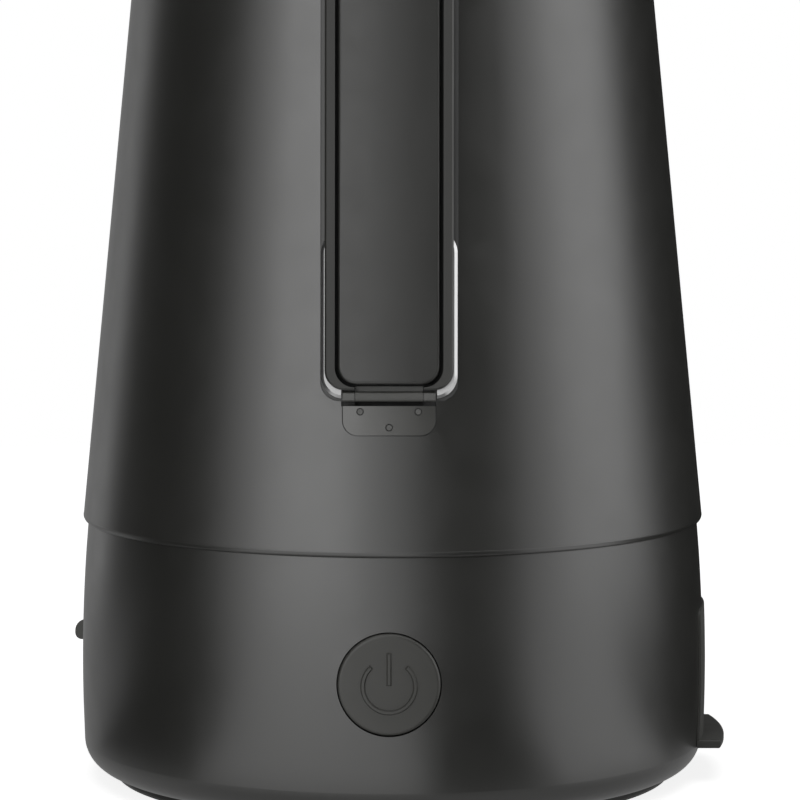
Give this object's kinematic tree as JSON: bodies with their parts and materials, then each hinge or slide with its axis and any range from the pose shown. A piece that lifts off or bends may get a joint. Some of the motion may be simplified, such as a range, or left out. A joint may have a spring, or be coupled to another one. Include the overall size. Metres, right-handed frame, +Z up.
{
  "type": "electric can opener",
  "caption": "Cordless tower can opener: drum base with power button, tapered body, hinged front arm, geared drive wheel, cutter lever and lid magnet.",
  "frame": {"origin": "centre of the foot ring on the table", "axes": "+Z up the tower, -Y towards the user (front, with button and arm), +X to the user's right (charging port)"},
  "size_m": [0.1197, 0.1499, 0.2195],
  "materials": {
    "body_plastic": "satin dark grey moulded plastic",
    "lever_plastic": "satin dark grey moulded plastic",
    "arm_plastic": "satin charcoal plastic",
    "panel_plastic": "satin charcoal soft-touch plastic",
    "button_plastic": "fine matt dark grey plastic",
    "black_plastic": "black moulded plastic",
    "rubber": "dark soft rubber",
    "polished_steel": "polished steel",
    "steel": "plain steel",
    "bronze": "sintered bronze",
    "gear_plastic": "natural acetal",
    "motor_metal": "zinc plated can",
    "board_green": "circuit board",
    "cell_wrap": "shrink wrap over steel cells"
  },
  "bodies": {
    "housing": {"base_shell": "body_plastic", "base_plate": "black_plastic", "foot_ring": "rubber", "base_screws": "steel", "tower_shell": "body_plastic", "tower_screws": "steel", "nose_housing": "body_plastic", "nose_screws": "steel", "face_plate": "steel", "face_screws": "steel", "drive_bush": "bronze", "top_cap": "body_plastic", "lever_pin": "steel", "gear_plate_front": "steel", "gear_plate_rear": "steel", "gear_pillars": "steel", "frame_screws": "steel", "idler_axle": "steel", "gearmotor": "motor_metal", "motor_end": "black_plastic", "motor_screws": "steel", "battery_cradle": "black_plastic", "battery_cells": "cell_wrap", "control_board": "board_green", "tact_switch": "black_plastic", "charge_board": "board_green", "charge_socket": "steel", "slide_switch": "black_plastic", "button_spring": "steel", "hinge_leaf": "body_plastic", "hinge_pin": "steel", "leaf_rivets": "steel", "catch_plate": "steel"},
    "front_arm": {"rest_arm": "arm_plastic", "arm_panel": "panel_plastic", "arm_shoe": "polished_steel", "hinge_tongue": "arm_plastic", "catch_magnet": "polished_steel"},
    "lever": {"cutter_lever": "lever_plastic", "lever_grip": "rubber", "cutter_axle": "steel", "magnet_pin": "steel"},
    "cutter": {"cutter_wheel": "polished_steel"},
    "lid_holder": {"magnet_holder": "lever_plastic", "lid_magnet": "polished_steel"},
    "drive": {"drive_wheel": "polished_steel", "drive_shaft": "steel", "drive_screw": "steel", "output_gear": "gear_plastic"},
    "idler": {"idler_gear": "gear_plastic"},
    "motor_rotor": {"motor_shaft": "steel", "motor_pinion": "bronze"},
    "button": {"power_button": "button_plastic"},
    "slider": {"reverse_slider": "button_plastic"},
    "cover": {"port_cover": "rubber"}
  },
  "joints": [
    {"name": "arm_fold", "type": "hinge", "parent": "housing", "child": "front_arm", "pos_m": [0, -0.0545, 0.07355], "axis": [1, 0, 0], "range_deg": [0, 90]},
    {"name": "lever_lift", "type": "hinge", "parent": "housing", "child": "lever", "pos_m": [0, 0.015, 0.2088], "axis": [-1, 0, 0], "range_deg": [0, 30]},
    {"name": "cutter_spin", "type": "hinge", "parent": "lever", "child": "cutter", "pos_m": [0, -0.0664, 0.2045], "axis": [0, -1, 0], "continuous": true},
    {"name": "magnet_swing", "type": "hinge", "parent": "lever", "child": "lid_holder", "pos_m": [0, -0.084, 0.2063], "axis": [1, 0, 0], "range_deg": [-12, 12]},
    {"name": "drive_spin", "type": "hinge", "parent": "housing", "child": "drive", "pos_m": [0, -0.062, 0.1858], "axis": [0, -1, 0], "continuous": true},
    {"name": "idler_spin", "type": "hinge", "parent": "housing", "child": "idler", "pos_m": [-0.008, -0.015, 0.16747], "axis": [0, -1, 0], "continuous": true},
    {"name": "motor_spin", "type": "hinge", "parent": "housing", "child": "motor_rotor", "pos_m": [0, -0.013, 0.14914], "axis": [0, -1, 0], "continuous": true},
    {"name": "button_press", "type": "slide", "parent": "housing", "child": "button", "axis": [0, 1, 0], "range_m": [0, 0.0012], "stiffness_N_per_m": 300, "deforming": ["button_spring"]},
    {"name": "reverse_slide", "type": "hinge", "parent": "housing", "child": "slider", "pos_m": [0, 0, 0.02175], "axis": [0, 0, 1], "range_deg": [-6, 0]},
    {"name": "cover_flip", "type": "hinge", "parent": "housing", "child": "cover", "pos_m": [0.05647, 0, 0.0312], "axis": [0, -1, 0], "range_deg": [0, 100]}
  ],
  "couplings": [
    {"joint": "idler_spin", "follows": "drive_spin", "ratio": -2.3333},
    {"joint": "motor_spin", "follows": "drive_spin", "ratio": 6}
  ]
}
